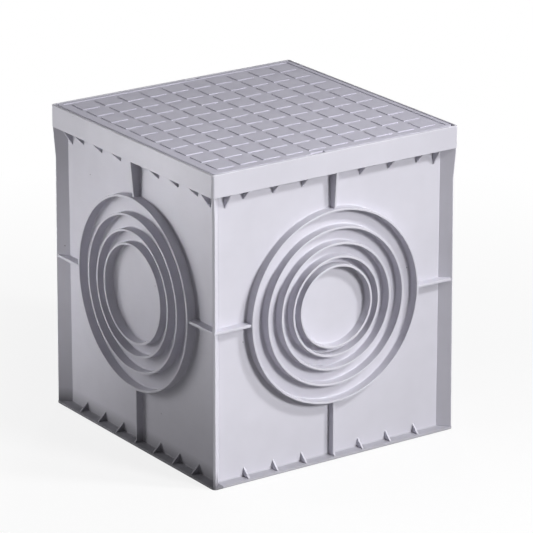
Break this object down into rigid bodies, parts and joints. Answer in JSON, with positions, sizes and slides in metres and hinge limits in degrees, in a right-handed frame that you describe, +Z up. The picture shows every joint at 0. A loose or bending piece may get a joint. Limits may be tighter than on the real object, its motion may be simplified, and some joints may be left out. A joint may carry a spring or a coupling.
{
  "type": "cable inspection pit",
  "caption": "Square moulded plastic inspection pit for buried cables, with concentric knock-out conduit rings on ribbed walls, a flanged foot and a lift-off tiled lid.",
  "frame": {"origin": "centre of the foot's underside", "axes": "+Z up, -Y out of the front wall (the wall with the extra inner ring that the picture shows on its right), +X to the right seen from the front"},
  "size_m": [0.3, 0.3, 0.33],
  "materials": {
    "body_plastic": "matte moulded polypropylene, light grey",
    "lid_plastic": "matte moulded polypropylene, light grey"
  },
  "bodies": {
    "chamber": {"pit_body": "body_plastic"},
    "lid": {"lid": "lid_plastic"}
  },
  "joints": [
    {"name": "lid_lift", "type": "slide", "parent": "chamber", "child": "lid", "axis": [0, 0, 1], "range_m": [0, 0.3]}
  ]
}
